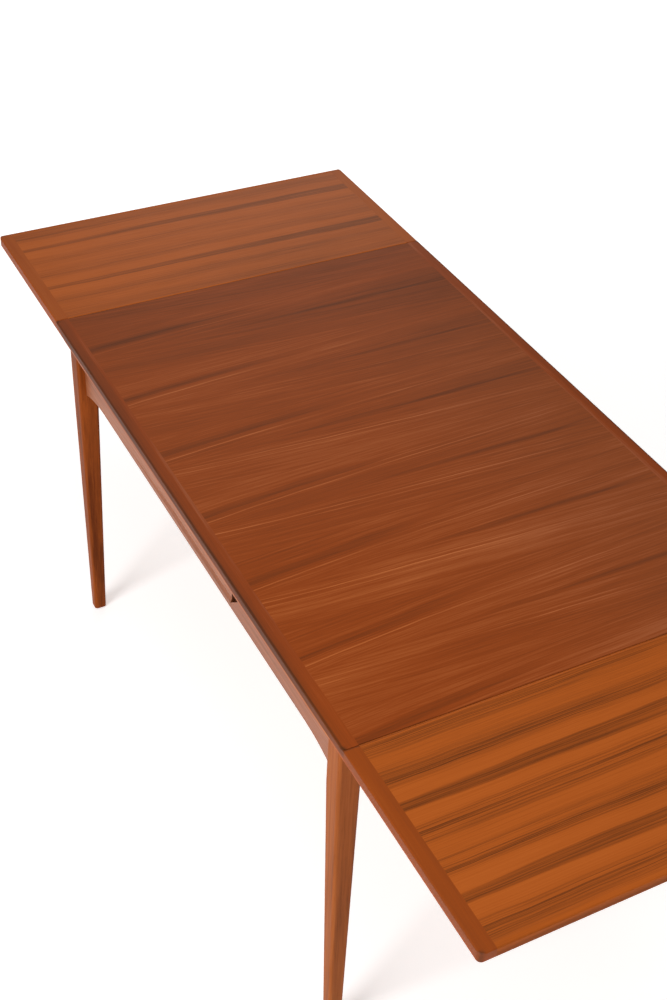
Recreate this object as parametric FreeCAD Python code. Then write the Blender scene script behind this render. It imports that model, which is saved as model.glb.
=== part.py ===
# Draw leaf dining table in teak: a loose main top, two leaves on tapered lopers and a four-legged frame.
# Millimetres, +Z up, +Y along the table, origin on the floor under the middle of the table.
import FreeCAD, Part
import math
import os

os.makedirs("parts", exist_ok=True)
Vec = FreeCAD.Vector
Z_AXIS = Vec(0, 0, 1)

# Main top and leaves
table_height = 750.0
top_width = 828.0
top_length = 1244.0
top_thickness = 20.0
leaf_thickness = 20.0
leaf_side_inset = 0.5
leaf_travel = 375.0
side_lipping_width = 26.0
seam_lipping_margin = 12.0
outer_lipping_width = 8.0
top_edge_round = 2.5
leaf_edge_round = 2.5
top_corner_round = 6.0
leaf_corner_round = 11.0

# Scarfed seam: the leaf's inner edge slopes in under the top's end edge
scarf_angle = 20.0
top_nose = 0.8
tongue_nose = 1.5
seam_clearance = 0.3

# Legs, set in from the top's edges, with feet that lean a little
leg_inset_x = 14.0
leg_inset_y = 31.5
leg_head = 41.0
leg_foot = 26.0
foot_shift_x = -4.5
foot_shift_y = 10.3
leg_round = 6.0
foot_chamfer = 2.5
taper_start = 4.0

# Aprons, tenoned into the legs
apron_setback = 15.0
apron_thickness = 20.0
apron_depth = 80.0
haunch_drop = 19.6
haunch_length = 103.0
tenon_length = 10.0
tenon_thickness = 9.0
tenon_shoulder = 12.0
tenon_clearance = 0.2

# Hand recess in each side apron's outer face, which runs out at one end and has a finger hole at the other
recess_start = -169.0
recess_end = 324.0
recess_run_out = 240.0
recess_depth = 3.0
recess_lip = 10.3
recess_ledge_rise = 8.0
finger_hole_overlap = 6.0
finger_hole_width = 38.0
finger_hole_height = 33.0

# Lopers: each leaf has one outboard and one inboard, so that the two leaves' lopers pass side by side
loper_thickness = 24.0
loper_depth = 42.0
loper_leg_gap = 55.0
loper_spacing = 32.0
loper_end_room = 12.0
loper_tail = 44.0
loper_side_clearance = 0.5
loper_running_clearance = 0.3

# Blocks on the lopers that stop the drawn leaf against the end apron
stop_length = 26.0
stop_thickness = 14.0
stop_inset = 5.0
stop_gap = 0.3

# Room round a stowed leaf
stow_gap = 0.6
ride_gap = 0.4
plank_edge_gap = 3.0

# Centre plank, centre bearer and corner blocks
plank_end_inset = 2.0
bearer_thickness = 24.0
block_reach = 50.0
block_height = 34.0
block_lift = 3.0

# Pegs that hold the loose top in place on the plank
peg_diameter = 16.0
peg_socket_depth = 8.0
peg_reach = 17.0
peg_edge = 76.0
peg_clearance = 0.5
peg_fit = 0.1

# Screws
screw_sides = 12
screw_diameter = 5.0
screw_head_diameter = 10.0
screw_head_height = 4.0
screw_clearance = 0.15
screw_bite = 13.0
screw_tip_room = 0.5
plank_screw_sink = 5.0
plank_screw_edge = 55.0
bearer_screw_x = 150.0
loper_screw_count = 3
loper_screw_bite = 11.0
loper_screw_cover = 14.0
loper_screw_margin = 30.0

# Levels that follow from the sizes above
half_width = top_width / 2
leaf_half_width = half_width - leaf_side_inset
half_length = top_length / 2
top_underside = table_height - top_thickness
leaf_underside = table_height - leaf_thickness
leaf_drop = top_thickness + stow_gap
frame_top = table_height - leaf_drop - leaf_thickness - ride_gap
apron_bottom = frame_top - apron_depth
slope = leaf_drop / leaf_travel

# Seam and leaf ends, for the leaf on the +Y side
scarf_tangent = math.tan(math.radians(scarf_angle))
leaf_face_start = half_length + (top_nose + seam_clearance) / scarf_tangent
tongue_end = leaf_face_start - (leaf_thickness - tongue_nose) / scarf_tangent
leaf_end = half_length + leaf_travel
seam_lipping_width = leaf_face_start - tongue_end + seam_lipping_margin
plank_half = tongue_end - leaf_travel - plank_edge_gap
peg_y = plank_half - peg_edge

# Frame faces
leg_outer_x = half_width - leg_inset_x
leg_outer_y = half_length - leg_inset_y
leg_inner_x = leg_outer_x - leg_head
leg_inner_y = leg_outer_y - leg_head
side_apron_outer = leg_outer_x - apron_setback
side_apron_inner = side_apron_outer - apron_thickness
end_apron_outer = leg_outer_y - apron_setback
end_apron_inner = end_apron_outer - apron_thickness
plank_end = side_apron_outer - plank_end_inset

# Loper places and ends
loper_outboard_x = leg_inner_x - loper_leg_gap
loper_inner_end = leaf_travel + loper_end_room - end_apron_inner
loper_outer_end = leaf_end - loper_tail
loper_inboard_x = loper_outboard_x - loper_spacing


def save(name, shape):
    """Write one node's solids."""
    shape.exportStep("parts/" + name + ".step")


def half_turn(shape):
    """The same shape turned half round about the table's upright axis."""
    turned = shape.copy()
    turned.rotate(Vec(0, 0, 0), Z_AXIS, 180)
    return turned


def box(x0, x1, y0, y1, z0, z1):
    """A box from its lowest and highest corners."""
    return Part.makeBox(x1 - x0, y1 - y0, z1 - z0, Vec(x0, y0, z0))


def prism(points, along):
    """Extrude a closed outline of straight runs along a vector."""
    outline = Part.makePolygon(list(points) + [points[0]])
    return Part.Face(outline).extrude(along)


def round_outline(corners):
    """A closed outline with each (point, radius) corner rounded, or left sharp where its radius is 0."""
    edges = []
    ends = []
    count = len(corners)
    for index in range(count):
        point, radius = corners[index]
        before = corners[index - 1][0]
        after = corners[(index + 1) % count][0]
        inward = (before - point).normalize()
        onward = (after - point).normalize()
        if radius == 0:
            ends.append((point, point, None))
            continue
        half_angle = inward.getAngle(onward) / 2
        reach = radius / math.tan(half_angle)
        centre = point + (inward + onward).normalize() * (radius / math.sin(half_angle))
        middle = centre + (point - centre).normalize() * radius
        ends.append((point + inward * reach, point + onward * reach, middle))
    for index in range(count):
        start, finish, middle = ends[index]
        if middle is not None:
            edges.append(Part.Arc(start, middle, finish).toShape())
        following = ends[(index + 1) % count][0]
        edges.append(Part.LineSegment(finish, following).toShape())
    return Part.Wire(edges)


def cylinder(centre, axis, diameter, length):
    """A round bar from its centre point along an axis."""
    return Part.makeCylinder(diameter / 2, length, centre, axis)


def board_section(half, y0, y1, thickness, rounding):
    """A board with both long edges rounded, by its half width and two places along the table."""
    low = table_height - thickness
    corners = [
        (Vec(-half, y0, low), rounding),
        (Vec(half, y0, low), rounding),
        (Vec(half, y0, table_height), rounding),
        (Vec(-half, y0, table_height), rounding),
    ]
    return Part.Face(round_outline(corners)).extrude(Vec(0, y1 - y0, 0))


def plan_block(half, y0, y1, near_round, far_round):
    """A tall block with a board's plan, rounded at its corners."""
    corners = [
        (Vec(-half, y0, 0), near_round),
        (Vec(half, y0, 0), near_round),
        (Vec(half, y1, 0), far_round),
        (Vec(-half, y1, 0), far_round),
    ]
    return Part.Face(round_outline(corners)).extrude(Vec(0, 0, 2 * table_height))


def whole_top():
    """The main top in one piece, undercut at both ends for the leaves' tongues."""
    undercut = half_length - (top_thickness - top_nose) / scarf_tangent
    side = -half_width
    profile = [
        Vec(side, -half_length, table_height),
        Vec(side, half_length, table_height),
        Vec(side, half_length, table_height - top_nose),
        Vec(side, undercut, top_underside),
        Vec(side, -undercut, top_underside),
        Vec(side, -half_length, table_height - top_nose),
    ]
    top = board_section(half_width, -half_length, half_length, top_thickness, top_edge_round)
    top = top.common(prism(profile, Vec(top_width, 0, 0)))
    return top.common(plan_block(half_width, -half_length, half_length, top_corner_round, top_corner_round))


def whole_leaf():
    """The +Y leaf in one piece, drawn out, with its tongue under the top's end."""
    side = -half_width
    corners = [
        (Vec(side, tongue_end, leaf_underside), 0),
        (Vec(side, leaf_end, leaf_underside), leaf_edge_round),
        (Vec(side, leaf_end, table_height), leaf_edge_round),
        (Vec(side, leaf_face_start, table_height), 0),
        (Vec(side, tongue_end, leaf_underside + tongue_nose), 0),
    ]
    leaf = board_section(leaf_half_width, tongue_end, leaf_end, leaf_thickness, leaf_edge_round)
    leaf = leaf.common(Part.Face(round_outline(corners)).extrude(Vec(top_width, 0, 0)))
    return leaf.common(plan_block(leaf_half_width, tongue_end, leaf_end, 0, leaf_corner_round))


def lipped(board, half, y0, y1, near_strip, far_strip):
    """Cut a board into its panel and the solid lippings round it."""
    inside = half - side_lipping_width
    high = table_height + top_thickness
    low = table_height - 2 * leaf_thickness
    zones = {
        "left": box(-half, -inside, y0, y1, low, high),
        "right": box(inside, half, y0, y1, low, high),
        "near": box(-inside, inside, y0, y0 + near_strip, low, high),
        "far": box(-inside, inside, y1 - far_strip, y1, low, high),
        "panel": box(-inside, inside, y0 + near_strip, y1 - far_strip, low, high),
    }
    return {name: board.common(zone) for name, zone in zones.items()}


def loper_top(y):
    """Height of a loper's sloping top edge, which slides under the plank's edge."""
    return frame_top - loper_running_clearance + (y - plank_half) * slope


def loper_bottom(y):
    """Height of a loper's bottom edge, parallel to the leaf's path."""
    return loper_top(y) - loper_depth


def loper(x):
    """One tapered loper of the +Y leaf, under the leaf and back under the plank."""
    left = x - loper_thickness / 2
    profile = [
        Vec(left, loper_inner_end, loper_bottom(loper_inner_end)),
        Vec(left, loper_outer_end, loper_bottom(loper_outer_end)),
        Vec(left, loper_outer_end, leaf_underside),
        Vec(left, tongue_end, leaf_underside),
        Vec(left, tongue_end, loper_top(tongue_end)),
        Vec(left, loper_inner_end, loper_top(loper_inner_end)),
    ]
    return prism(profile, Vec(loper_thickness, 0, 0))


def loper_channel(x, y0, y1):
    """The slot that a +Y loper slides through, open upwards."""
    left = x - loper_thickness / 2 - loper_side_clearance
    width = loper_thickness + 2 * loper_side_clearance
    profile = [
        Vec(left, y0, loper_bottom(y0) - loper_running_clearance),
        Vec(left, y1, loper_bottom(y1) - loper_running_clearance),
        Vec(left, y1, table_height),
        Vec(left, y0, table_height),
    ]
    return prism(profile, Vec(width, 0, 0))


def loper_stop(x, side):
    """The block on a loper's side that meets the end apron when the leaf is fully drawn."""
    y1 = end_apron_inner - stop_gap
    y0 = y1 - stop_length
    face = x + side * loper_thickness / 2
    profile = [
        Vec(face, y0, loper_bottom(y0) + stop_inset),
        Vec(face, y1, loper_bottom(y1) + stop_inset),
        Vec(face, y1, loper_top(y1) - stop_inset),
        Vec(face, y0, loper_top(y0) - stop_inset),
    ]
    return prism(profile, Vec(side * stop_thickness, 0, 0))


def screw_bar(seat, axis, diameter, length):
    """A stretch of screw, or of its hole, with a few flats round it because there are many."""
    turn = 2 * math.pi / screw_sides
    radius = diameter / 2
    points = [
        Vec(radius * math.cos(side * turn), radius * math.sin(side * turn), 0)
        for side in range(screw_sides)
    ]
    bar = prism(points, Vec(0, 0, length))
    bar.Placement = FreeCAD.Placement(seat, FreeCAD.Rotation(Z_AXIS, axis))
    return bar


def screw(seat, axis, bite):
    """A screw whose head sits on its seat and whose shank goes on along the axis."""
    head = screw_bar(seat - axis * screw_head_height, axis, screw_head_diameter, screw_head_height)
    return head.fuse(screw_bar(seat, axis, screw_diameter, bite))


def screw_hole(seat, axis, bite, above):
    """The room for a screw's shank and head, with the head's hole running back to the open."""
    shank = screw_bar(seat, axis, screw_diameter + 2 * screw_clearance, bite + screw_tip_room)
    head = screw_bar(seat - axis * above, axis, screw_head_diameter + 2 * screw_clearance, above)
    return shank.fuse(head)


def loper_screw_seats(x):
    """Where the screws of one +Y loper sit, from below into the leaf."""
    first = tongue_end + seam_lipping_width + loper_screw_margin
    last = loper_outer_end - loper_screw_margin
    step = (last - first) / (loper_screw_count - 1)
    height = leaf_underside - loper_screw_cover
    return [Vec(x, first + index * step, height) for index in range(loper_screw_count)]


def build_leaf():
    """Every piece of the +Y leaf, by the end of its node's name."""
    strips = lipped(
        whole_leaf(), leaf_half_width, tongue_end, leaf_end, seam_lipping_width, outer_lipping_width
    )
    pieces = {
        "panel": strips["panel"],
        "lipping_left": strips["left"],
        "lipping_right": strips["right"],
        "lipping_inner": strips["near"],
        "lipping_outer": strips["far"],
    }
    places = {"outboard": (-loper_outboard_x, -1), "inboard": (loper_inboard_x, -1)}
    screws = []
    bite = loper_screw_cover + loper_screw_bite
    for place, (x, side) in places.items():
        bar = loper(x)
        for seat in loper_screw_seats(x):
            room = screw_hole(seat, Z_AXIS, bite, loper_depth)
            bar = bar.cut(room)
            pieces["panel"] = pieces["panel"].cut(room)
            screws.append(screw(seat, Z_AXIS, bite))
        pieces["loper_" + place] = bar
        pieces["stop_" + place] = loper_stop(x, side)
    pieces["loper_screws"] = Part.makeCompound(screws)
    return pieces


def leg_section(z, inset, size, lean):
    """A leg's rounded square outline, measured from its outer corner, which leans from 0 at the head to 1."""
    outer_x = leg_outer_x + lean * foot_shift_x
    outer_y = leg_outer_y + lean * foot_shift_y
    corners = [
        (Vec(outer_x - inset, outer_y - inset, z), leg_round),
        (Vec(outer_x - size + inset, outer_y - inset, z), leg_round),
        (Vec(outer_x - size + inset, outer_y - size + inset, z), leg_round),
        (Vec(outer_x - inset, outer_y - size + inset, z), leg_round),
    ]
    return round_outline(corners)


def apron_profile(half_span, centre):
    """An apron's long outline: straight below, sweeping down to the legs at both ends."""
    radius = (haunch_length ** 2 + haunch_drop ** 2) / (2 * haunch_drop)
    turn = math.asin(haunch_length / radius) / 2
    flat = half_span - haunch_length
    mid_y = flat + radius * math.sin(turn)
    mid_z = apron_bottom - radius + radius * math.cos(turn)
    low = apron_bottom - haunch_drop

    def at(y, z):
        return Vec(centre, y, z)

    edges = [
        Part.LineSegment(at(-half_span, frame_top), at(half_span, frame_top)).toShape(),
        Part.LineSegment(at(half_span, frame_top), at(half_span, low)).toShape(),
        Part.Arc(at(half_span, low), at(mid_y, mid_z), at(flat, apron_bottom)).toShape(),
        Part.LineSegment(at(flat, apron_bottom), at(-flat, apron_bottom)).toShape(),
        Part.Arc(at(-flat, apron_bottom), at(-mid_y, mid_z), at(-half_span, low)).toShape(),
        Part.LineSegment(at(-half_span, low), at(-half_span, frame_top)).toShape(),
    ]
    return Part.Face(Part.Wire(edges))


def tenon(x, y, direction, spare):
    """A tenon, or with spare room its mortise, that starts at an apron's end and goes into a leg."""
    low = apron_bottom - spare
    high = frame_top - tenon_shoulder + spare
    half = tenon_thickness / 2 + spare
    end = direction * (tenon_length + spare)
    if direction.x:
        return box(min(x, x + end.x), max(x, x + end.x), y - half, y + half, low, high)
    return box(x - half, x + half, min(y, y + end.y), max(y, y + end.y), low, high)


def build_side_apron():
    """The -X side apron, with its tenons, hand recess and finger hole."""
    outer = -side_apron_outer
    centre = outer + apron_thickness / 2
    apron = apron_profile(leg_inner_y, outer).extrude(Vec(apron_thickness, 0, 0))
    for end in (-1, 1):
        apron = apron.fuse(tenon(centre, end * leg_inner_y, Vec(0, end, 0), 0))
    floor = apron_bottom + recess_lip
    back = outer + recess_depth
    recess = prism([
        Vec(outer - recess_depth, recess_start, floor),
        Vec(outer, recess_start, floor),
        Vec(back, recess_start, floor + recess_ledge_rise),
        Vec(back, recess_start, table_height),
        Vec(outer - recess_depth, recess_start, table_height),
    ], Vec(0, recess_end - recess_start, 0))
    recess = recess.common(prism([
        Vec(outer - recess_depth, recess_start, apron_bottom),
        Vec(back, recess_start, apron_bottom),
        Vec(back, recess_end - recess_run_out, apron_bottom),
        Vec(outer, recess_end, apron_bottom),
        Vec(outer - recess_depth, recess_end, apron_bottom),
    ], Vec(0, 0, table_height)))
    hole_side = recess_start + finger_hole_overlap
    hole = prism([
        Vec(outer - recess_depth, hole_side, floor),
        Vec(outer - recess_depth, hole_side, floor + finger_hole_height),
        Vec(outer - recess_depth, hole_side - finger_hole_width, floor + finger_hole_height),
    ], Vec(apron_thickness + 2 * recess_depth, 0, 0))
    return apron.removeSplitter().cut(recess).cut(hole)


def build_end_apron():
    """The +Y end apron, with its tenons and the slots that the +Y leaf's lopers slide in."""
    centre = end_apron_outer - apron_thickness / 2
    apron = apron_profile(leg_inner_x, 0).extrude(Vec(apron_thickness, 0, 0))
    apron.rotate(Vec(0, 0, 0), Z_AXIS, 90)
    apron.translate(Vec(0, end_apron_inner, 0))
    for end in (-1, 1):
        apron = apron.fuse(tenon(end * leg_inner_x, centre, Vec(end, 0, 0), 0))
    apron = apron.removeSplitter()
    for x in (-loper_outboard_x, loper_inboard_x):
        apron = apron.cut(loper_channel(x, end_apron_inner - apron_thickness, end_apron_outer + apron_thickness))
    return apron


def block_screw_seat():
    """Where the +X +Y corner block's screw sits: the middle of its slanting face."""
    face_y = leg_inner_y - block_reach
    face_x = leg_inner_x - block_reach
    middle_z = apron_bottom + block_lift + block_height / 2
    return Vec((side_apron_inner + face_x) / 2, (face_y + end_apron_inner) / 2, middle_z)


def build_corner():
    """The +X +Y leg, its corner block and the block's screw."""
    head_bottom = apron_bottom - haunch_drop - taper_start
    sections = [
        leg_section(0, foot_chamfer, leg_foot, 1),
        leg_section(foot_chamfer, 0, leg_foot, 1),
        leg_section(head_bottom, 0, leg_head, 0),
        leg_section(frame_top, 0, leg_head, 0),
    ]
    leg = Part.makeLoft(sections, True, True)
    side_centre = side_apron_outer - apron_thickness / 2
    end_centre = end_apron_outer - apron_thickness / 2
    leg = leg.cut(tenon(side_centre, leg_inner_y, Vec(0, 1, 0), tenon_clearance))
    leg = leg.cut(tenon(leg_inner_x, end_centre, Vec(1, 0, 0), tenon_clearance))
    low = apron_bottom + block_lift
    block = prism([
        Vec(side_apron_inner, leg_inner_y, low),
        Vec(side_apron_inner, leg_inner_y - block_reach, low),
        Vec(leg_inner_x - block_reach, end_apron_inner, low),
        Vec(leg_inner_x, end_apron_inner, low),
        Vec(leg_inner_x, leg_inner_y, low),
    ], Vec(0, 0, block_height))
    seat = block_screw_seat()
    slant = Vec(end_apron_inner - leg_inner_y + block_reach, side_apron_inner - leg_inner_x + block_reach, 0)
    axis = slant.normalize()
    corner = Vec(leg_inner_x, leg_inner_y, seat.z)
    bite = (corner - seat).dot(axis) + screw_bite
    room = screw_hole(seat, axis, bite, screw_head_height)
    return leg.cut(room), block.cut(room), screw(seat, axis, bite)


def mirrored(shape, flip_x, flip_y):
    """A corner piece mirrored to one of the table's four corners."""
    if flip_x:
        shape = shape.mirror(Vec(0, 0, 0), Vec(1, 0, 0))
    if flip_y:
        shape = shape.mirror(Vec(0, 0, 0), Vec(0, 1, 0))
    return shape


def build_bearer():
    """The cross bearer under the plank, slotted for all four lopers."""
    half = bearer_thickness / 2
    bearer = box(-side_apron_inner, side_apron_inner, -half, half, apron_bottom, frame_top)
    for x in (-loper_outboard_x, loper_inboard_x):
        channel = loper_channel(x, -bearer_thickness, bearer_thickness)
        bearer = bearer.cut(channel).cut(half_turn(channel))
    return bearer


def plank_screw_seats():
    """Where the plank's screws sit, over the side aprons and the bearer."""
    over_apron = side_apron_inner + (apron_thickness - recess_depth) / 2
    reach = plank_half - plank_screw_edge
    height = top_underside - plank_screw_sink
    seats = [Vec(x, y, height) for x in (-over_apron, over_apron) for y in (-reach, reach)]
    return seats + [Vec(x, 0, height) for x in (-bearer_screw_x, bearer_screw_x)]


def build_all():
    """Make every node."""
    nodes = {}

    top = lipped(
        whole_top(), half_width, -half_length, half_length, seam_lipping_width, seam_lipping_width
    )
    plank = box(-plank_end, plank_end, -plank_half, plank_half, frame_top, top_underside)
    pegs = []
    for y in (-peg_y, peg_y):
        foot = Vec(0, y, top_underside - peg_reach)
        length = peg_reach + peg_socket_depth
        pegs.append(cylinder(foot, Z_AXIS, peg_diameter, length))
        top["panel"] = top["panel"].cut(cylinder(foot, Z_AXIS, peg_diameter + 2 * peg_fit, length))
        plank = plank.cut(cylinder(Vec(0, y, 0), Z_AXIS, peg_diameter + 2 * peg_clearance, table_height))
    nodes["top_panel"] = top["panel"]
    for strip in ("left", "right", "near", "far"):
        nodes["top_lipping_" + strip] = top[strip]
    nodes["top_pegs"] = Part.makeCompound(pegs)

    side_apron = build_side_apron()
    side_aprons = {"left": side_apron, "right": half_turn(side_apron)}
    bearer = build_bearer()
    plank_screws = []
    plank_bite = top_underside - plank_screw_sink - frame_top + screw_bite
    for seat in plank_screw_seats():
        room = screw_hole(seat, -Z_AXIS, plank_bite, plank_screw_sink + top_thickness)
        plank = plank.cut(room)
        bearer = bearer.cut(room)
        side_aprons = {side: apron.cut(room) for side, apron in side_aprons.items()}
        plank_screws.append(screw(seat, -Z_AXIS, plank_bite))
    nodes["centre_plank"] = plank
    nodes["centre_plank_screws"] = Part.makeCompound(plank_screws)
    nodes["centre_bearer"] = bearer
    for side, apron in side_aprons.items():
        nodes["side_apron_" + side] = apron

    end_apron = build_end_apron()
    nodes["end_apron_far"] = end_apron
    nodes["end_apron_near"] = half_turn(end_apron)

    leg, block, block_screw = build_corner()
    block_screws = []
    for end, flip_y in (("far", False), ("near", True)):
        for side, flip_x in (("right", False), ("left", True)):
            nodes["leg_" + end + "_" + side] = mirrored(leg, flip_x, flip_y)
            nodes["corner_block_" + end + "_" + side] = mirrored(block, flip_x, flip_y)
            block_screws.append(mirrored(block_screw, flip_x, flip_y))
    nodes["corner_block_screws"] = Part.makeCompound(block_screws)

    for piece, shape in build_leaf().items():
        nodes["leaf_far_" + piece] = shape
        nodes["leaf_near_" + piece] = half_turn(shape)
    return nodes


for node_name, node_shape in build_all().items():
    save(node_name, node_shape)
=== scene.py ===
# Looks of a teak draw leaf dining table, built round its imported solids.
# Metres, +Z up, +Y along the table, origin on the floor under the middle of the table.
import math

import bpy
from mathutils import Matrix, Vector

# Places on the main top, the leaves and the side aprons with their finger holes
TOP_HALF = 0.414
TOP_UNDERSIDE = 0.730
TOP_END = 0.622
LEAF_FACE_START = 0.625
LEAF_END = 0.997
APRON_FACE = 0.385
HOLE_Y = 0.182
HOLE_HALF = 0.0195

# Colours are linear RGB: the dark, middle and light of each finish
COLOUR_STOPS = (0.0, 0.5, 1.0)
TOP_COLOURS = ((0.090, 0.024, 0.0075), (0.252, 0.0508, 0.0090), (0.450, 0.136, 0.0440))
LEAF_COLOURS = ((0.120, 0.029, 0.0050), (0.380, 0.083, 0.0095), (0.490, 0.120, 0.018))
TOP_LIP_COLOURS = ((0.080, 0.024, 0.0095), (0.236, 0.0455, 0.0085), (0.440, 0.190, 0.1050))
LEAF_LIP_COLOURS = ((0.100, 0.028, 0.0090), (0.280, 0.055, 0.0065), (0.450, 0.120, 0.020))
LEG_COLOURS = ((0.120, 0.030, 0.008), (0.296, 0.0795, 0.0182), (0.420, 0.130, 0.036))
APRON_COLOURS = ((0.120, 0.037, 0.013), (0.250, 0.075, 0.028), (0.420, 0.155, 0.070))
BEECH_COLOURS = ((0.330, 0.190, 0.095), (0.460, 0.290, 0.160), (0.560, 0.380, 0.230))
STEEL_COLOURS = ((0.300, 0.290, 0.270), (0.620, 0.610, 0.590), (0.620, 0.610, 0.590))

# Tints multiply a finish's colour
# Painted reflection: a pale bluish haze over the right of the main top
FADED_TINT = (0.96, 1.13, 1.65)
# Painted light: the near left of the main top warmer
GLOW_TINT = (1.01, 0.93, 0.72)
# Painted light: the near end of the main top's lippings warmer and brighter
WARM_TINT = (1.17, 1.12, 0.80)
# Painted shade: the far legs darker and redder
FAR_LEG_TINT = (0.98, 0.81, 0.56)
STAIN_TINT = (0.50, 0.24, 0.16)

# Roughness, gloss and depth of relief
VENEER_ROUGHNESS = 0.42
SOLID_ROUGHNESS = 0.44
BEECH_ROUGHNESS = 0.55
LEAF_END_ROUGHNESS = 0.6
STEEL_ROUGHNESS = (0.28, 0.42)
SATIN_RISE = 0.05
SATIN_DROP = 0.04
OILED_GLOSS = 0.05
LEAF_GLOSS = 0.07
LEAF_LIP_GLOSS = 0.06
LEG_GLOSS = 0.03
APRON_GLOSS = 0.22
STEEL_GLOSS = 0.5
VENEER_RELIEF = 0.00005
SOLID_RELIEF = 0.00006
STEEL_RELIEF = 0.00002

# Grain of all the wood: noise in turns per metre, across the grain and along it
FIBRE_SCALES = (520.0, 9.0)
PORE_SCALES = (900.0, 34.0)
DRIFT_SCALES = (11.0, 1.3)
STREAK_SCALES = (90.0, 2.4)
STREAK_WAVE = 0.4
PORE_DEPTH = -0.6

# All noise: its middle and usual span. Other SCALES are turns per metre along X, Y and Z.
NOISE_MIDDLE = 0.5
NOISE_SPAN = (0.3, 0.7)
STEEL_SCALES = (900.0, 900.0, 900.0)

# STEP names are smooth steps: where each starts and ends, then its values there if not 0 and 1.
# WEIGHTS names say how much the parts of a figure lighten or darken a finish's tone.
PORE_STEP = (0.60, 0.74)

# Veneer of the main top: slip-matched sheets, each with one figure that opens towards +X
TOP_SHEET = 0.1851
TOP_FIGURE_Y = 0.2762
TOP_SWAY = 0.010
TOP_SWAY_SCALES = (3.2, 2.6, 1.0)
FIGURE_APEX_X = -0.47
FIGURE_SPREAD = 0.057

# Pale lines of the figure: place beside it, half width and strength
FIGURE_LINES = ((0.0, 0.0020, 1.0), (0.0105, 0.0016, 0.60), (-0.0085, 0.0014, 0.50))
WORN_SCALES = (3.0, 22.0, 1.0)
WORN_STEP = (0.36, 0.60, 0.15, 1.0)
PALE_RIGHT_STEP = (-0.10, 0.38, 1.0, 0.45)
PALE_FAR_STEP = (0.0, 0.5, 1.0, 0.55)
PALE_SEAM_STEP = (-0.61, -0.55, 0.2, 1.0)

# Dark parts of the figure, its fine lines, and where the top is darker (painted shade towards the far end),
# paler with a painted reflection, or warmer with painted light
SHADE_AT = 0.017
SHADE_HALF = 0.017
SHADE_STEP = (0.02, -0.24)
HEART_HALF = 0.008
HEART_LEFT_STEP = (-0.22, 0.12)
HEART_RIGHT_STEP = (0.40, 0.24, 0.4, 1.0)
LINE_LEAN = 0.12
LINE_SCALES = (240.0, 2.6, 2.0)
# Painted shade: the top darker towards the far end
TOP_FAR_STEP = (-0.1, 0.6)
TOP_RIGHT_STEP = (0.0, 0.40)
TOP_SEAM_STEP = (TOP_END - 0.0022, TOP_END - 0.0008)
FADED_X_STEP = (-0.05, 0.38)
FADED_Y_STEP = (0.55, 0.10)
GLOW_X_STEP = (0.10, -0.30)
GLOW_Y_STEP = (0.05, -0.35)
TOP_TONE = 0.51
TOP_WEIGHTS = {
    "fine": 0.50,
    "drift": 0.52,
    "lines": 0.62,
    "pale": 0.38,
    "shade": -0.24,
    "heart": -0.22,
    "pores": -0.07,
    "far": -0.13,
    "right": -0.06,
    "seam": -0.22,
}

# Veneer of the leaves: slip-matched sheets, each with one dark band and groups of fine lines
LEAF_SHEET = 0.1667
LEAF_SWAY = 0.016
LEAF_SWAY_SCALES = (2.6, 3.0, 1.0)
THREAD_SCALES = (1.6, 420.0, 3.0)
THREAD_STEP = (0.53, 0.40)
HAIR_SCALES = (2.2, 780.0, 3.0)
HAIR_STEP = (0.54, 0.42)
BAND_Y = 0.748
BAND_HALF = 0.0075
BAND_GROWTH = 0.014
BAND_BASE = 0.71
BAND_THREADS = 0.27
BAND_EDGE_STEP = (0.0035, -0.0030)
BAND_RIM_HALF = 0.0028
BAND_FAR_STEP = (-0.3, 0.3, 1.0, 0.62)
BAND_RIGHT_STEP = (-0.2, 0.30, 0.0, 0.54)
GROUP_AT = 0.052
GROUP_HALF = 0.027
GROUP_BASE = 0.20
GROUP_THREADS = 0.34
GROUP_HAIRS = 0.62
GROUP_RIGHT_STEP = (-0.1, 0.36, 1.0, 0.60)
GROUP_NEAR_STEP = (0.0, 1.0, 0.70, 1.0)
BROWN_STEP = (0.034, 0.048)
NEAR_LEAF_STEP = (0.1, -0.1)
# Painted shade over the far leaf, strongest on its right
FAR_LEAF_STEP = (-0.3, 0.3)
FAR_LEAF_RIGHT_STEP = (-0.3, 0.4, 0.3, 1.0)
FAR_LEAF_CLEAR_STEP = (-0.3, 0.3, 1.0, 0.72)
# Painted highlight along the leaves' inner edges at the seams
LEAF_SEAM_STEP = (LEAF_FACE_START + 0.0035, LEAF_FACE_START + 0.0010)
LEAF_FIGURE_WEIGHTS = {
    "threads": -0.10,
    "band": -0.46,
    "rim": -0.10,
    "group": -0.44,
    "brown": -0.08,
}
LEAF_TONE = 0.61
LEAF_FINE = 0.46
LEAF_DRIFT = 0.36
LEAF_WEIGHTS = {"far_right": -0.13, "seam": 0.09, "pores": -0.06}

# Straight-grained solid wood
WOOD_TONE = 0.50
WOOD_FINE = 0.30
WOOD_DRIFT = 0.36
WOOD_STREAKS = 0.40
WOOD_PORES = -0.08
LEAF_LIP_GRAIN = 0.7
FRAME_GRAIN = 1.9

# Marks on the main top's side lippings: darker bands and corners, painted shade on the side faces and
# towards the far end, and a painted highlight on the lower arris
# Painted highlight along the lower edge of the side faces
ARRIS_Z_STEP = (TOP_UNDERSIDE + 0.0078, TOP_UNDERSIDE + 0.0050)
ARRIS_X_STEP = (TOP_HALF - 0.0035, TOP_HALF - 0.0015)
CORNER_X_STEP = (TOP_HALF - 0.0120, TOP_HALF - 0.0020)
CORNER_REACH = 0.0100
PATCHY_SCALES = (60.0, 9.0, 60.0)
PATCHY_VALUES = (0.75, 1.0)
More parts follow.
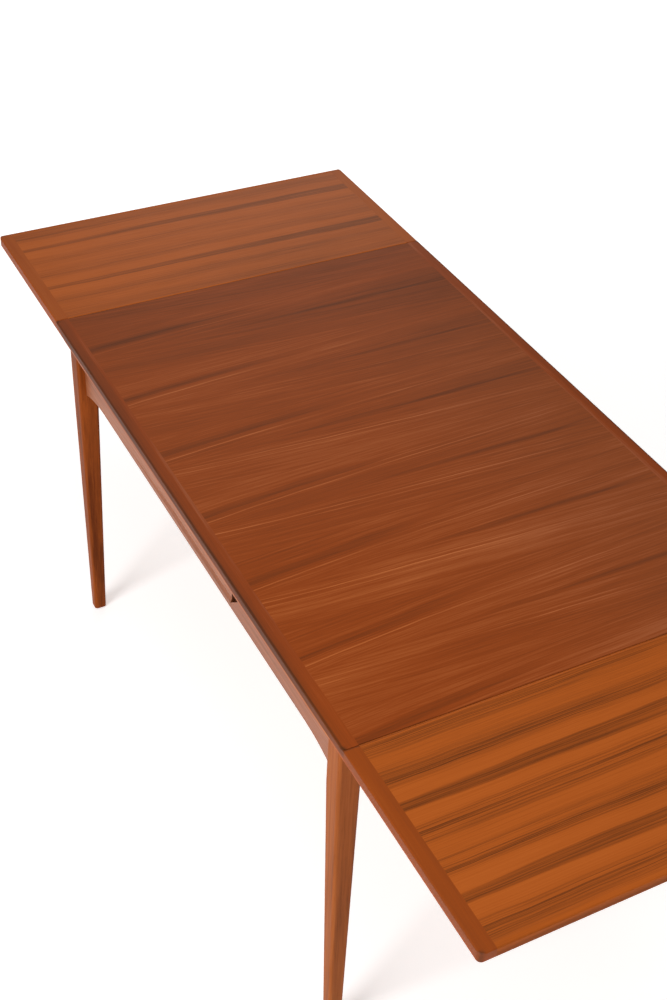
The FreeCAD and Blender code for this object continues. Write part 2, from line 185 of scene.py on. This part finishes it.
# A darker band along each long edge of the main top
HANDLED_X_STEP = (TOP_HALF - 0.0240, TOP_HALF - 0.0100)
HANDLED_Y_STEP = (-0.62, -0.25, 0.25, 1.0)
# Painted shade on the side faces, against the lamp on the left
RIM_X_STEP = (TOP_HALF - 0.0050, TOP_HALF - 0.0018)
RIM_Y_STEP = (0.3, -0.3, 0.75, 1.0)
# Painted shade on the lippings towards the far end
LIP_FAR_STEP = (0.0, 0.6)
LIP_RIGHT_STEP = (0.0, 0.3)
LIP_WARM_STEP = (-0.30, -0.60)
TOP_LIP_WEIGHTS = {
    "handled": -0.17,
    "rim": -0.36,
    "arris": 0.66,
    "far": -0.05,
    "right": 0.10,
    "corner": -0.40,
}

# Marks on the leaves' lippings: painted shade on the side faces and tongues, painted highlights low down,
# and darker corners and lower end faces
# Painted shade on the leaves' side faces
LEAF_SIDE_STEP = (TOP_HALF - 0.0022, TOP_HALF - 0.0008)
# Painted highlight low on the leaves' side faces
LEAF_PALE_STEP = (TOP_UNDERSIDE + 0.0080, TOP_UNDERSIDE + 0.0030)
# Tongues under the main top, in painted shade apart from a painted highlight low on their sides
TONGUE_STEP = (LEAF_FACE_START + 0.0006, LEAF_FACE_START)
LEAF_LIP_FAR_STEP = (0.3, 0.7)
LEAF_LIP_WEIGHTS = {
    "side": -0.20,
    "pale": 0.26,
    "tongue": -0.20,
    "worn": 0.30,
    "corner": -0.52,
    "far": 0.09,
}
LEAF_END_STEP = (LEAF_END - 0.0022, LEAF_END - 0.0008)
LEAF_END_LOW_STEP = (TOP_UNDERSIDE + 0.0150, TOP_UNDERSIDE + 0.0080, 0.25, 1.0)
LEAF_END_WEIGHTS = {"end": -0.26, "corner": -0.52}

# Legs (the far ones in painted shade), painted shade in the aprons' finger holes, and the centre plank
FAR_END_STEP = (-0.2, 0.2)
LEG_STREAK_SCALES = (75.0, 75.0, 1.6)
LEG_STREAK_STEP = (0.50, 0.66)
LEG_WEIGHTS = {"far": -0.20, "streaks": -0.22}
HOLE_OUTER_STEP = (0.0032, 0.0045)
HOLE_INNER_STEP = (0.0199, 0.0190)
HOLE_STEP = (HOLE_HALF + 0.001, HOLE_HALF)
# Painted shade inside the finger holes
APRON_WEIGHTS = {"grime": -0.9}
PLANK_END_STEP = (APRON_FACE - 0.0045, APRON_FACE - 0.0030)

# Floor: its glow grows with the distance from the table
FLOOR_HALF = 60.0
FLOOR_COLOUR = (0.893, 0.898, 0.901, 1.0)
FLOOR_ROUGHNESS = 0.9
FLOOR_GLOW_COLOUR = (1.0, 1.0, 1.0, 1.0)
FLOOR_GLOW_STEP = (0.8, 3.2, 0.45, 0.62)

# Studio lights: name, place, the point each faces, size, power and colour
WHITE = (1.0, 1.0, 1.0)
WINDOW = (1.0, 0.94, 0.82)
LIGHTS = (
    ("key_left", (-3.6, -1.2, 2.6), (0.0, -0.1, 0.5), 1.7, 120.0, WHITE),
    ("over", (0.3, -1.0, 4.4), (0.0, -0.3, 0.7), 3.0, 52.0, WHITE),
    ("far_window", (2.2, 5.2, 2.6), (0.0, 0.6, 0.7), 2.6, 44.0, WINDOW),
)
SURROUNDINGS_COLOUR = (1.0, 0.99, 0.98, 1.0)
SURROUNDINGS_STRENGTH = 0.34

# Camera, solved from the photograph's straight edges
CAMERA_PLACE = (-1.1364, -1.8739, 2.3707)
CAMERA_TURN = math.radians(28.79)
CAMERA_PITCH = math.radians(38.84)
CAMERA_ROLL = math.radians(2.79)
CAMERA_REACH = 100.0
FOCAL_PIXELS = 1504.0
IMAGE_HEIGHT = 1000.0
SENSOR = 36.0

# Sockets of a colour mix node: its factor and two colours, and its result
MIX_INPUTS = (0, 6, 7)
MIX_OUTPUT = 2


class Graph:
    """A material's node tree, with short calls for the nodes used here."""

    def __init__(self, name):
        self.material = bpy.data.materials.new(name)
        self.material.use_nodes = True
        self.tree = self.material.node_tree
        self.shader = self.tree.nodes["Principled BSDF"]

    def plug(self, value, socket):
        """Link an output to a socket, or set a plain value on it."""
        if isinstance(value, bpy.types.NodeSocket):
            self.tree.links.new(value, socket)
        else:
            socket.default_value = value

    def math(self, operation, *values):
        """The result of one operation on values."""
        node = self.tree.nodes.new("ShaderNodeMath")
        node.operation = operation
        for socket, value in zip(node.inputs, values):
            self.plug(value, socket)
        return node.outputs[0]

    def place(self):
        """X, Y and Z of a point on the object, in metres."""
        coordinates = self.tree.nodes.new("ShaderNodeTexCoord")
        split = self.tree.nodes.new("ShaderNodeSeparateXYZ")
        self.tree.links.new(coordinates.outputs["Object"], split.inputs[0])
        return split.outputs

    def vector(self, x, y, z):
        """A vector from its three parts."""
        node = self.tree.nodes.new("ShaderNodeCombineXYZ")
        for socket, value in zip(node.inputs, (x, y, z)):
            self.plug(value, socket)
        return node.outputs[0]

    def noise(self, place, scales, detail=3.0, roughness=0.55, distortion=0.0):
        """Noise stretched by its own scale, in turns per metre, along each axis."""
        scaled = [self.math("MULTIPLY", part, scale) for part, scale in zip(place, scales)]
        node = self.tree.nodes.new("ShaderNodeTexNoise")
        node.inputs["Scale"].default_value = 1.0
        node.inputs["Detail"].default_value = detail
        node.inputs["Roughness"].default_value = roughness
        node.inputs["Distortion"].default_value = distortion
        self.tree.links.new(self.vector(*scaled), node.inputs["Vector"])
        return node.outputs["Fac"]

    def stretch(self, value, low, high, to_low=0.0, to_high=1.0):
        """Map a range of values smoothly to another, held at both ends."""
        node = self.tree.nodes.new("ShaderNodeMapRange")
        node.interpolation_type = "SMOOTHSTEP"
        for socket, number in zip(node.inputs, (value, low, high, to_low, to_high)):
            self.plug(number, socket)
        return node.outputs[0]

    def ramp(self, value, colours):
        """Dark, middle and light colours by value."""
        node = self.tree.nodes.new("ShaderNodeValToRGB")
        elements = node.color_ramp.elements
        while len(elements) < len(colours):
            elements.new(COLOUR_STOPS[1])
        for element, position, colour in zip(elements, COLOUR_STOPS, colours):
            element.position = position
            element.color = (*colour, 1.0)
        self.plug(value, node.inputs[0])
        return node.outputs[0]

    def tinted(self, colour, amount, tint):
        """A colour multiplied by a tint where the amount is 1."""
        node = self.tree.nodes.new("ShaderNodeMix")
        node.data_type = "RGBA"
        node.blend_type = "MULTIPLY"
        for index, value in zip(MIX_INPUTS, (amount, colour, (*tint, 1.0))):
            self.plug(value, node.inputs[index])
        return node.outputs[MIX_OUTPUT]

    def finish(self, tone, colours, roughness, relief, depth, gloss=OILED_GLOSS, tints=()):
        """Colour, gloss and relief of a wood or metal surface from its tone, 0 dark to 1 light."""
        self.shader.inputs["Specular IOR Level"].default_value = gloss
        colour = self.ramp(tone, colours)
        for amount, tint in tints:
            colour = self.tinted(colour, amount, tint)
        self.plug(colour, self.shader.inputs["Base Color"])
        self.plug(roughness, self.shader.inputs["Roughness"])
        bump = self.tree.nodes.new("ShaderNodeBump")
        bump.inputs["Strength"].default_value = 1.0
        bump.inputs["Distance"].default_value = depth
        self.plug(relief, bump.inputs["Height"])
        self.tree.links.new(bump.outputs[0], self.shader.inputs["Normal"])
        return self.material


def total(graph, start, *terms):
    """A starting value plus (value, weight) terms."""
    result = start
    for value, weight in terms:
        result = graph.math("MULTIPLY_ADD", value, weight, result)
    return result


def weighed(weights, **parts):
    """(value, weight) terms of named parts, in the order of their weights."""
    return [(parts[name], weight) for name, weight in weights.items()]


def product(graph, first, *others):
    """All the values multiplied."""
    result = first
    for value in others:
        result = graph.math("MULTIPLY", result, value)
    return result


def size_of(graph, value):
    """A value without its sign."""
    return graph.math("ABSOLUTE", value)


def ridge(graph, distance, half):
    """1 where a distance is nought, falling smoothly to 0 at half a line's width."""
    return graph.stretch(size_of(graph, distance), half, 0.0)


def slip_matched(graph, y, sheet):
    """Distance from the middle of the sheet of veneer that a place is on."""
    return graph.math("WRAP", y, sheet / 2, -sheet / 2)


def along(axis, fine, long):
    """Noise scales for grain that runs along one axis."""
    return tuple(long if name == axis else fine for name in "XYZ")


def centred(graph, value):
    """Noise moved to swing about nought."""
    return graph.math("SUBTRACT", value, NOISE_MIDDLE)


def fibres(graph, place, axis):
    """Fine fibre, short pore dashes and slow drift for wood with its grain along one axis."""
    fine = graph.noise(place, along(axis, *FIBRE_SCALES), detail=4.0, roughness=0.65)
    pores = graph.noise(place, along(axis, *PORE_SCALES), detail=2.0, roughness=0.5)
    pores = graph.stretch(pores, *PORE_STEP)
    drift = graph.noise(place, along(axis, *DRIFT_SCALES))
    return fine, pores, drift


def fibre_relief(graph, fine, pores):
    """Height of a wood surface, lower in its pores."""
    return graph.math("MULTIPLY_ADD", pores, PORE_DEPTH, fine)


def satin(graph, fine, base):
    """Roughness of an oiled surface that follows its fibres."""
    return graph.stretch(fine, *NOISE_SPAN, base + SATIN_RISE, base - SATIN_DROP)


def top_veneer():
    """Reddish veneer of the main top, grain across the table."""
    graph = Graph("teak_top_veneer")
    place = graph.place()
    x, y = place[0], place[1]
    fine, pores, drift = fibres(graph, place, "X")

    # Place on the sheet, and distance from the edge of its figure
    sheet_y = slip_matched(graph, graph.math("SUBTRACT", y, TOP_FIGURE_Y), TOP_SHEET)
    sway = centred(graph, graph.noise(place, TOP_SWAY_SCALES))
    sheet_y = graph.math("MULTIPLY_ADD", sway, TOP_SWAY, sheet_y)
    run = graph.math("MAXIMUM", graph.math("SUBTRACT", x, FIGURE_APEX_X), 0.0)
    spread = graph.math("MULTIPLY", graph.math("SQRT", run), FIGURE_SPREAD)
    ring = graph.math("SUBTRACT", size_of(graph, sheet_y), spread)

    # Pale lines round the figure, the shade outside it, its dark heart and fine lines
    pale = 0.0
    for offset, half, strength in FIGURE_LINES:
        line = ridge(graph, graph.math("SUBTRACT", ring, offset), half)
        pale = total(graph, pale, (line, strength))
    worn = graph.stretch(graph.noise(place, WORN_SCALES), *WORN_STEP)
    pale_right = graph.stretch(x, *PALE_RIGHT_STEP)
    pale_far = graph.stretch(y, *PALE_FAR_STEP)
    pale_seam = graph.stretch(y, *PALE_SEAM_STEP)
    pale = product(graph, pale, worn, pale_right, pale_far, pale_seam)
    outside = graph.math("SUBTRACT", graph.math("SUBTRACT", sheet_y, spread), SHADE_AT)
    shade = product(graph, ridge(graph, outside, SHADE_HALF), graph.stretch(x, *SHADE_STEP))
    heart = ridge(graph, sheet_y, HEART_HALF)
    heart = product(graph, heart, graph.stretch(x, *HEART_LEFT_STEP), graph.stretch(x, *HEART_RIGHT_STEP))
    leaning = graph.math("MULTIPLY_ADD", sheet_y, LINE_LEAN, ring)
    lines = graph.noise((leaning, x, y), LINE_SCALES, detail=4.0, roughness=0.65)

    tone = total(graph, TOP_TONE, *weighed(
        TOP_WEIGHTS,
        fine=centred(graph, fine),
        drift=centred(graph, drift),
        lines=centred(graph, lines),
        pale=pale,
        shade=shade,
        heart=heart,
        pores=pores,
        # painted shade: the top darker towards the far end, where less light falls
        far=graph.stretch(y, *TOP_FAR_STEP),
        right=graph.stretch(x, *TOP_RIGHT_STEP),
        seam=graph.stretch(size_of(graph, y), *TOP_SEAM_STEP),
    ))
    # Painted reflection: a pale bluish haze over the right of the main top, fading out towards the far end
    faded = product(graph, graph.stretch(x, *FADED_X_STEP), graph.stretch(y, *FADED_Y_STEP))
    # Painted light: the near left of the main top warmer
    glow = product(graph, graph.stretch(x, *GLOW_X_STEP), graph.stretch(y, *GLOW_Y_STEP))
    return graph.finish(
        tone,
        TOP_COLOURS,
        satin(graph, fine, VENEER_ROUGHNESS),
        fibre_relief(graph, fine, pores),
        VENEER_RELIEF,
        tints=((faded, FADED_TINT), (glow, GLOW_TINT)),
    )


def leaf_veneer():
    """Golden veneer of the leaves, with dark bands and groups of fine lines across the table."""
    graph = Graph("teak_leaf_veneer")
    place = graph.place()
    x, y = place[0], place[1]
    fine, pores, drift = fibres(graph, place, "X")
    near = graph.stretch(y, *NEAR_LEAF_STEP)

    # Place on the sheet, and distance from its band
    sway = centred(graph, graph.noise(place, LEAF_SWAY_SCALES))
    sheet_y = slip_matched(graph, graph.math("SUBTRACT", size_of(graph, y), BAND_Y), LEAF_SHEET)
    sheet_y = graph.math("MULTIPLY_ADD", sway, LEAF_SWAY, sheet_y)
    away = size_of(graph, sheet_y)
    lines = graph.noise((x, sheet_y, y), THREAD_SCALES, detail=4.0, roughness=0.7)
    threads = graph.stretch(lines, *THREAD_STEP)
    hairs = graph.noise((x, sheet_y, y), HAIR_SCALES, detail=2.0, roughness=0.6)
    hairs = graph.stretch(hairs, *HAIR_STEP)

    # The band, which widens to the right and is narrower on the far leaf
    half = graph.math("MULTIPLY_ADD", graph.math("ADD", x, TOP_HALF), BAND_GROWTH, BAND_HALF)
    half = graph.math("MULTIPLY", half, graph.stretch(y, *BAND_FAR_STEP))
    from_edge = graph.math("SUBTRACT", away, half)
    fade = graph.math("SUBTRACT", 1.0, product(graph, near, graph.stretch(x, *BAND_RIGHT_STEP)))
    band_threads = graph.math("MULTIPLY_ADD", threads, BAND_THREADS, BAND_BASE)
    band = product(graph, graph.stretch(from_edge, *BAND_EDGE_STEP), band_threads, fade)

    # The groups of fine lines on both sides of the band
    group = ridge(graph, graph.math("SUBTRACT", away, GROUP_AT), GROUP_HALF)
    group_threads = graph.math("MULTIPLY_ADD", threads, GROUP_THREADS, GROUP_BASE)
    group_lines = graph.math("MULTIPLY", group, group_threads)
    group_lines = total(graph, group_lines, (graph.math("MULTIPLY", group, hairs), GROUP_HAIRS))
    group_right = graph.stretch(x, *GROUP_RIGHT_STEP)
    group_near = graph.stretch(near, *GROUP_NEAR_STEP)
    group_lines = product(graph, group_lines, group_right, group_near)

    figure = total(graph, 0.0, *weighed(
        LEAF_FIGURE_WEIGHTS,
        threads=threads,
        band=band,
        rim=ridge(graph, from_edge, BAND_RIM_HALF),
        group=group_lines,
        brown=graph.stretch(away, *BROWN_STEP),
    ))
    clear = graph.stretch(y, *FAR_LEAF_CLEAR_STEP)
    grain = ((centred(graph, fine), LEAF_FINE), (centred(graph, drift), LEAF_DRIFT), (figure, clear))
    tone = total(graph, LEAF_TONE, *grain, *weighed(
        LEAF_WEIGHTS,
        # painted shade over the far leaf, strongest on its right
        far_right=product(graph, graph.stretch(y, *FAR_LEAF_STEP), graph.stretch(x, *FAR_LEAF_RIGHT_STEP)),
        # painted highlight along the leaf's inner edge
        seam=graph.stretch(size_of(graph, y), *LEAF_SEAM_STEP),
        pores=pores,
    ))
    return graph.finish(
        tone,
        LEAF_COLOURS,
        satin(graph, fine, VENEER_ROUGHNESS),
        fibre_relief(graph, fine, pores),
        VENEER_RELIEF,
        gloss=LEAF_GLOSS,
    )


def plain_wood(
    name, axis, colours, roughness=SOLID_ROUGHNESS, gloss=OILED_GLOSS, grain=1.0, marks=None, stain=None
):
    """Straight-grained solid wood, with marks and a stain of its own that functions add."""
    graph = Graph(name)
    place = graph.place()
    fine, pores, drift = fibres(graph, place, axis)
    streaks = graph.noise(place, along(axis, *STREAK_SCALES), roughness=0.6, distortion=STREAK_WAVE)
    tone = total(
        graph,
        WOOD_TONE,
        (centred(graph, fine), WOOD_FINE * grain),
        (centred(graph, drift), WOOD_DRIFT),
        (centred(graph, streaks), WOOD_STREAKS * grain),
        (pores, WOOD_PORES * grain),
    )
    if marks is not None:
        tone = total(graph, tone, *marks(graph, place))
    tints = ()
    if stain is not None:
        where, colour = stain
        tints = ((where(graph, place), colour),)
    return graph.finish(
        tone,
        colours,
        satin(graph, fine, roughness),
        fibre_relief(graph, fine, pores),
        SOLID_RELIEF,
        gloss,
        tints,
    )


def lower_arris(graph, place):
    """1 on the lower part of the main top's side faces, where a painted highlight lightens the edge."""
    low = graph.stretch(place[2], *ARRIS_Z_STEP)
    return product(graph, low, graph.stretch(size_of(graph, place[0]), *ARRIS_X_STEP))


def worn_corner(graph, place, end):
    """1 at the outer corners of the main top or the leaves, which are darker."""
    across = graph.stretch(size_of(graph, place[0]), *CORNER_X_STEP)
    return product(graph, across, graph.stretch(size_of(graph, place[1]), end - CORNER_REACH, end))


def lipping_marks(graph, place):
    """Darker bands along the edges of the main top, and painted shade down the side faces to a painted
    highlight on the lower arris.
    """
    x, y = place[0], place[1]
    side = size_of(graph, x)
    patchy = graph.stretch(graph.noise(place, PATCHY_SCALES), *NOISE_SPAN, *PATCHY_VALUES)
    handled = graph.stretch(side, *HANDLED_X_STEP)
    handled = product(graph, handled, patchy, graph.stretch(y, *HANDLED_Y_STEP))
    rim = graph.stretch(side, *RIM_X_STEP)
    rim = product(graph, rim, patchy, graph.stretch(y, *RIM_Y_STEP))
    return weighed(
        TOP_LIP_WEIGHTS,
        # a darker band along each long edge
        handled=handled,
        # painted shade on the side faces and the outer edge
        rim=rim,
        # a painted highlight low on the side faces
        arris=lower_arris(graph, place),
        # painted shade towards the far end
        far=graph.stretch(y, *LIP_FAR_STEP),
        right=graph.stretch(x, *LIP_RIGHT_STEP),
        corner=worn_corner(graph, place, TOP_END),
    )


def near_end(graph, place):
    """1 towards the near end of the main top, where painted light makes its lippings warmer and brighter.
    """
    return graph.stretch(place[1], *LIP_WARM_STEP)


def leaf_lipping_marks(graph, place):
    """Side faces of the leaves with painted shade and a painted highlight low down, and painted shade on
    the tongues under the main top.
    """
    side = graph.stretch(size_of(graph, place[0]), *LEAF_SIDE_STEP)
    tongue = graph.stretch(size_of(graph, place[1]), *TONGUE_STEP)
    return weighed(
        LEAF_LIP_WEIGHTS,
        # painted shade on the side faces
        side=side,
        # a painted highlight low on the side faces
        pale=product(graph, side, graph.stretch(place[2], *LEAF_PALE_STEP)),
        # painted shade on the tongues under the main top
        tongue=tongue,
        # a painted highlight low on the tongues' sides
        worn=product(graph, tongue, lower_arris(graph, place)),
        corner=worn_corner(graph, place, LEAF_END),
        far=graph.stretch(place[1], *LEAF_LIP_FAR_STEP),
    )


def leaf_end_marks(graph, place):
    """The outer end faces of the leaves, darker low down and at the corners."""
    end = graph.stretch(size_of(graph, place[1]), *LEAF_END_STEP)
    return weighed(
        LEAF_END_WEIGHTS,
        end=product(graph, end, graph.stretch(place[2], *LEAF_END_LOW_STEP)),
        corner=worn_corner(graph, place, LEAF_END),
    )


def far_end(graph, place):
    """1 towards the far end of the table, where painted shade darkens the legs."""
    return graph.stretch(place[1], *FAR_END_STEP)


def leg_marks(graph, place):
    """Long brown streaks, and painted shade that makes the far legs a little darker."""
    streaks = graph.noise(place, LEG_STREAK_SCALES, roughness=0.6)
    return weighed(LEG_WEIGHTS, far=far_end(graph, place), streaks=graph.stretch(streaks, *LEG_STREAK_STEP))


def apron_marks(graph, place):
    """Painted shade inside the finger hole."""
    depth = graph.math("SUBTRACT", APRON_FACE, size_of(graph, place[0]))
    turned = graph.math("MULTIPLY", place[1], graph.math("SIGN", place[0]))
    from_hole = size_of(graph, graph.math("SUBTRACT", turned, HOLE_Y))
    grime = product(
        graph,
        graph.stretch(depth, *HOLE_OUTER_STEP),
        graph.stretch(depth, *HOLE_INNER_STEP),
        graph.stretch(from_hole, *HOLE_STEP),
    )
    return weighed(APRON_WEIGHTS, grime=grime)


def plank_ends(graph, place):
    """1 at the centre plank's ends, which are stained to match the aprons they lie on."""
    return graph.stretch(size_of(graph, place[0]), *PLANK_END_STEP)


def plated_steel():
    """Bright plated screws with a fine turned grain."""
    graph = Graph("plated_steel")
    grain = graph.noise(graph.place(), STEEL_SCALES)
    graph.shader.inputs["Metallic"].default_value = 1.0
    rough = graph.stretch(grain, *NOISE_SPAN, *STEEL_ROUGHNESS)
    return graph.finish(grain, STEEL_COLOURS, rough, grain, STEEL_RELIEF, gloss=STEEL_GLOSS)


def dress(nodes):
    """Give every CAD node its finish."""
    top = top_veneer()
    leaf = leaf_veneer()
    top_lip = plain_wood(
        "teak_top_lipping", "Y", TOP_LIP_COLOURS, marks=lipping_marks, stain=(near_end, WARM_TINT)
    )
    leaf_lip = plain_wood(
        "teak_leaf_lipping", "Y", LEAF_LIP_COLOURS, gloss=LEAF_LIP_GLOSS, grain=LEAF_LIP_GRAIN,
        marks=leaf_lipping_marks,
    )
    leaf_end = plain_wood(
        "teak_leaf_end_lipping", "X", LEAF_COLOURS, roughness=LEAF_END_ROUGHNESS, marks=leaf_end_marks
    )
    leg = plain_wood(
        "teak_leg", "Z", LEG_COLOURS, gloss=LEG_GLOSS, grain=FRAME_GRAIN, marks=leg_marks,
        stain=(far_end, FAR_LEG_TINT),
    )
    side_apron = plain_wood(
        "teak_side_apron", "Y", APRON_COLOURS, gloss=APRON_GLOSS, grain=FRAME_GRAIN, marks=apron_marks
    )
    end_apron = plain_wood("teak_end_apron", "X", APRON_COLOURS, gloss=APRON_GLOSS, grain=FRAME_GRAIN)
    beech = {
        axis: plain_wood("beech_" + axis, axis, BEECH_COLOURS, roughness=BEECH_ROUGHNESS) for axis in "XYZ"
    }
    plank = plain_wood(
        "beech_plank", "X", BEECH_COLOURS, roughness=BEECH_ROUGHNESS, stain=(plank_ends, STAIN_TINT)
    )
    steel = plated_steel()

    def finish_of(name):
        if name.endswith("screws"):
            return steel
        if name in ("top_panel", "top_lipping_far", "top_lipping_near"):
            return top
        if name.startswith("top_lipping"):
            return top_lip
        if name.endswith(("_panel", "lipping_inner")):
            return leaf
        if name.endswith("lipping_outer"):
            return leaf_end
        if "lipping" in name:
            return leaf_lip
        if name.startswith("leg"):
            return leg
        if name.startswith("side_apron"):
            return side_apron
        if name.startswith("end_apron"):
            return end_apron
        if "loper" in name or "stop" in name:
            return beech["Y"]
        if name == "centre_plank":
            return plank
        if name == "top_pegs":
            return beech["Z"]
        return beech["X"]

    for name, node in nodes.items():
        node.data.materials.clear()
        node.data.materials.append(finish_of(name))


def floor():
    """A plain pale floor."""
    graph = Graph("pale_floor")
    graph.shader.inputs["Base Color"].default_value = FLOOR_COLOUR
    graph.shader.inputs["Roughness"].default_value = FLOOR_ROUGHNESS
    graph.shader.inputs["Emission Color"].default_value = FLOOR_GLOW_COLOUR
    x, y = graph.place()[:2]
    away = graph.math("SQRT", total(graph, 0.0, (x, x), (y, y)))
    graph.plug(graph.stretch(away, *FLOOR_GLOW_STEP), graph.shader.inputs["Emission Strength"])
    signs = ((-1, -1), (1, -1), (1, 1), (-1, 1))
    corners = [(x_sign * FLOOR_HALF, y_sign * FLOOR_HALF, 0) for x_sign, y_sign in signs]
    mesh = bpy.data.meshes.new("floor")
    mesh.from_pydata(corners, [], [(0, 1, 2, 3)])
    ground = bpy.data.objects.new("floor", mesh)
    mesh.materials.append(graph.material)
    bpy.context.scene.collection.objects.link(ground)


def area_light(name, place, target, size, power, colour):
    """A square soft light that faces a point."""
    data = bpy.data.lights.new(name, "AREA")
    data.shape = "SQUARE"
    data.size = size
    data.energy = power
    data.color = colour
    light = bpy.data.objects.new(name, data)
    light.location = place
    light.rotation_euler = (Vector(target) - Vector(place)).to_track_quat("-Z", "Y").to_euler()
    bpy.context.scene.collection.objects.link(light)


def studio():
    """Even white surroundings and soft lights."""
    world = bpy.data.worlds.new("studio")
    world.use_nodes = True
    background = world.node_tree.nodes["Background"]
    background.inputs["Color"].default_value = SURROUNDINGS_COLOUR
    background.inputs["Strength"].default_value = SURROUNDINGS_STRENGTH
    bpy.context.scene.world = world
    for light in LIGHTS:
        area_light(*light)
    bpy.context.scene.view_settings.view_transform = "Standard"


def camera():
    """The photograph's view."""
    forward = Vector((
        math.sin(CAMERA_TURN) * math.cos(CAMERA_PITCH),
        math.cos(CAMERA_TURN) * math.cos(CAMERA_PITCH),
        -math.sin(CAMERA_PITCH),
    ))
    level = forward.cross(Vector((0, 0, 1))).normalized()
    upright = level.cross(forward)
    right = math.cos(CAMERA_ROLL) * level + math.sin(CAMERA_ROLL) * upright
    up = math.cos(CAMERA_ROLL) * upright - math.sin(CAMERA_ROLL) * level
    data = bpy.data.cameras.new("photo_camera")
    data.sensor_fit = "VERTICAL"
    data.sensor_height = SENSOR
    data.lens = FOCAL_PIXELS / IMAGE_HEIGHT * SENSOR
    data.clip_end = CAMERA_REACH
    eye = bpy.data.objects.new("photo_camera", data)
    turn = Matrix((right, up, -forward)).transposed()
    eye.matrix_world = Matrix.Translation(CAMERA_PLACE) @ turn.to_4x4()
    bpy.context.scene.collection.objects.link(eye)
    bpy.context.scene.camera = eye


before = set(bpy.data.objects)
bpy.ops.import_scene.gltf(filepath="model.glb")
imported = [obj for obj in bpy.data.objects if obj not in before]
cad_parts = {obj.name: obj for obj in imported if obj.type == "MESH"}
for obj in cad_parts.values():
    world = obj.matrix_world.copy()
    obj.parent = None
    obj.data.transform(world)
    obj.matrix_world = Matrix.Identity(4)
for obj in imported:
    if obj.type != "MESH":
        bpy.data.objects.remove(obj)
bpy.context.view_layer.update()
dress(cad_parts)
floor()
studio()
camera()
